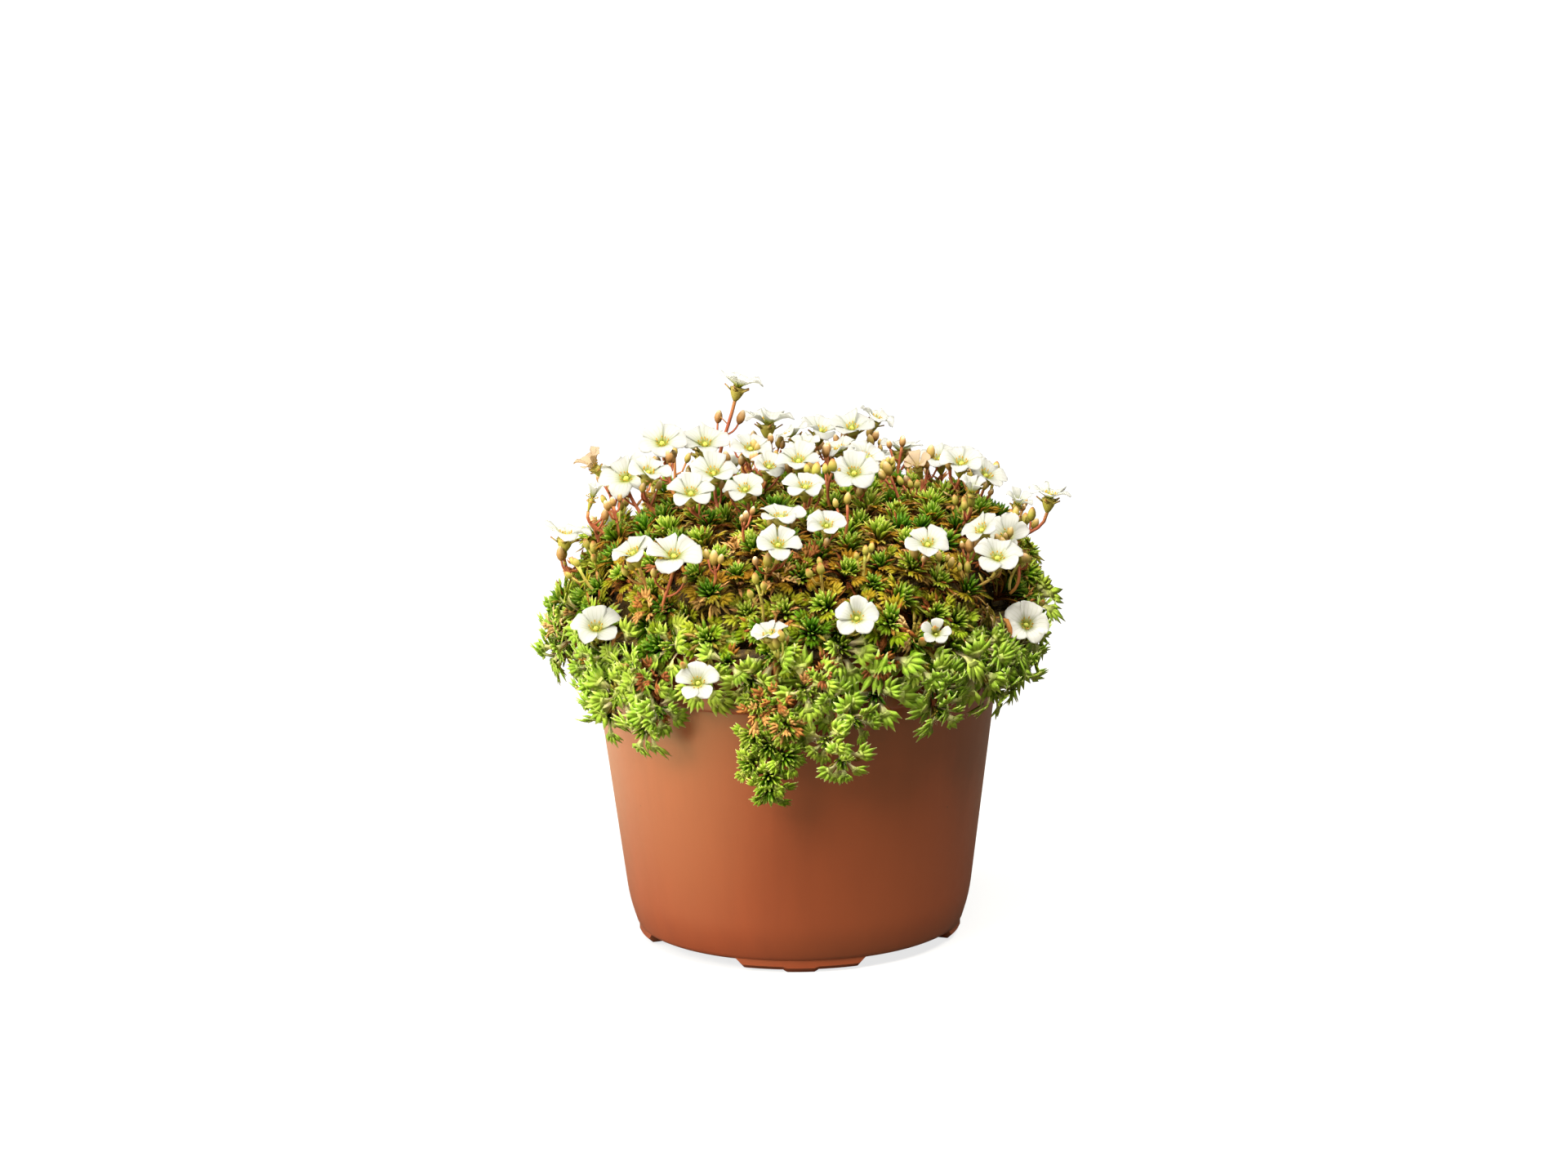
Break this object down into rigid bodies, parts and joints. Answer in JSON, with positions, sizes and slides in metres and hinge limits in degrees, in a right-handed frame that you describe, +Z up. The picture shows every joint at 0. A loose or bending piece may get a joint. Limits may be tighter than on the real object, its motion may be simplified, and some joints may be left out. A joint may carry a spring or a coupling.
{
  "type": "potted mossy saxifrage",
  "caption": "Low evergreen cushion of small lobed leaf rosettes with white cup-shaped flowers on short stems, growing in a round tapered plastic nursery pot filled with dark peat.",
  "frame": {"origin": "on the table, at the centre of the pot's feet, under the pot's axis", "axes": "+Z up, -Y towards the viewer of the picture, +X to the viewer's right"},
  "size_m": [0.1454, 0.1465, 0.1519],
  "materials": {
    "pot_plastic": "satin",
    "peat": "matte",
    "leaves": "satin",
    "petals": "matte"
  },
  "bodies": {
    "root": {"pot": "pot_plastic", "soil": "peat", "cushion": "leaves", "bloom_01": "petals", "bloom_02": "petals", "bloom_03": "petals", "bloom_04": "petals", "bloom_05": "petals", "bloom_06": "petals", "bloom_07": "petals", "bloom_08": "petals", "bloom_09": "petals", "bloom_10": "petals", "bloom_11": "petals", "bloom_12": "petals", "bloom_13": "petals", "bloom_14": "petals", "bloom_15": "petals", "bloom_16": "petals", "bloom_17": "petals", "bloom_18": "petals", "bloom_19": "petals", "bloom_20": "petals", "bloom_21": "petals", "bloom_22": "petals", "bloom_23": "petals", "bloom_24": "petals", "bloom_25": "petals", "bloom_26": "petals", "bloom_27": "petals", "bloom_28": "petals", "bloom_29": "petals", "bloom_30": "petals", "bloom_31": "petals", "bloom_32": "petals", "bloom_33": "petals", "bloom_34": "petals", "bloom_35": "petals", "bloom_36": "petals", "bloom_37": "petals", "bloom_38": "petals", "bloom_39": "petals", "bloom_40": "petals", "bloom_41": "petals", "bloom_42": "petals", "bloom_43": "petals", "bloom_44": "petals", "bloom_45": "petals", "bloom_46": "petals", "bloom_47": "petals", "bloom_48": "petals", "bloom_49": "petals", "bloom_50": "petals", "bloom_51": "petals", "bloom_52": "petals", "bloom_53": "petals", "bloom_54": "petals", "bloom_55": "petals", "bloom_56": "petals"}
  },
  "joints": []
}
